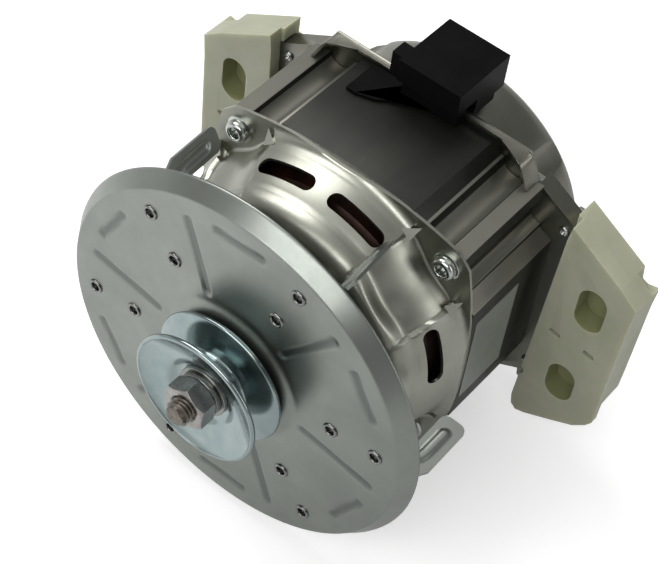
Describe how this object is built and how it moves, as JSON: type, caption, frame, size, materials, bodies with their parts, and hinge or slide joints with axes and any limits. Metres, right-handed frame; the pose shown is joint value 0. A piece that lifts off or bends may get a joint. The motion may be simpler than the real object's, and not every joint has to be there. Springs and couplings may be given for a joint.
{
  "type": "washing machine motor",
  "caption": "Belt drive motor of a washing machine with stamped end caps, an outside fan, a two-piece belt pulley, plastic mount blocks and a plug socket.",
  "frame": {"origin": "on the shaft axis, in the middle plane of the belt groove", "axes": "-Y along the shaft towards its threaded end, +Z towards the plug housing, +X to the right as seen from the pulley end"},
  "size_m": [0.2056, 0.1696, 0.1604],
  "materials": {
    "cap_steel": "bright drawn steel with soft streaks",
    "rear_cap_steel": "duller drawn steel, slightly grey",
    "lamination_steel": "dark olive grey varnished laminations",
    "copper_winding": "varnished copper wire",
    "zinc_bolt": "bright zinc plated",
    "bearing_steel": "ground and polished",
    "cage_brass": "pressed brass",
    "shaft_steel": "turned steel, brown in the thread",
    "rotor_aluminium": "cast",
    "fan_sheet": "matte galvanised sheet",
    "pulley_zinc": "bright bluish zinc plated",
    "nut_steel": "warm grey plated, worn",
    "ivory_plastic": "slightly translucent moulding",
    "black_plastic": "black moulding with a slight gloss",
    "contact_brass": "tinned brass",
    "plate_foil": "blank satin plate"
  },
  "bodies": {
    "motor_frame": {"front_end_cap": "cap_steel", "rear_end_cap": "rear_cap_steel", "stator_core": "lamination_steel", "stator_winding": "copper_winding", "through_bolts": "zinc_bolt", "bolt_nuts": "zinc_bolt", "front_bearing_outer_race": "bearing_steel", "rear_bearing_outer_race": "bearing_steel", "wave_washer": "bearing_steel", "left_mount_block": "ivory_plastic", "right_mount_block": "ivory_plastic", "block_screws": "zinc_bolt", "block_screw_nuts": "zinc_bolt", "plug_housing": "black_plastic", "plug_base": "black_plastic", "contact_pins": "contact_brass", "thermal_protector": "black_plastic", "rating_plate": "plate_foil"},
    "rotor": {"shaft": "shaft_steel", "rotor_core": "lamination_steel", "front_end_ring": "rotor_aluminium", "rear_end_ring": "rotor_aluminium", "front_bearing_inner_race": "bearing_steel", "rear_bearing_inner_race": "bearing_steel", "spacer_sleeve": "shaft_steel", "fan_disc": "fan_sheet", "fan_blades": "fan_sheet", "blade_rivets": "zinc_bolt", "pulley_rear_half": "pulley_zinc", "pulley_front_half": "pulley_zinc", "flat_washer": "zinc_bolt", "spring_washer": "zinc_bolt", "shaft_nut": "nut_steel"},
    "front_ball_cage": {"front_bearing_balls": "bearing_steel", "front_bearing_cage": "cage_brass"},
    "rear_ball_cage": {"rear_bearing_balls": "bearing_steel", "rear_bearing_cage": "cage_brass"}
  },
  "joints": [
    {"name": "rotor_spin", "type": "hinge", "parent": "motor_frame", "child": "rotor", "pos_m": [0, 0, 0], "axis": [0, 1, 0], "continuous": true},
    {"name": "front_cage_spin", "type": "hinge", "parent": "motor_frame", "child": "front_ball_cage", "pos_m": [0, 0.038, 0], "axis": [0, 1, 0], "continuous": true},
    {"name": "rear_cage_spin", "type": "hinge", "parent": "motor_frame", "child": "rear_ball_cage", "pos_m": [0, 0.1434, 0], "axis": [0, 1, 0], "continuous": true}
  ],
  "couplings": [
    {"joint": "front_cage_spin", "follows": "rotor_spin", "ratio": 0.386},
    {"joint": "rear_cage_spin", "follows": "rotor_spin", "ratio": 0.386}
  ]
}
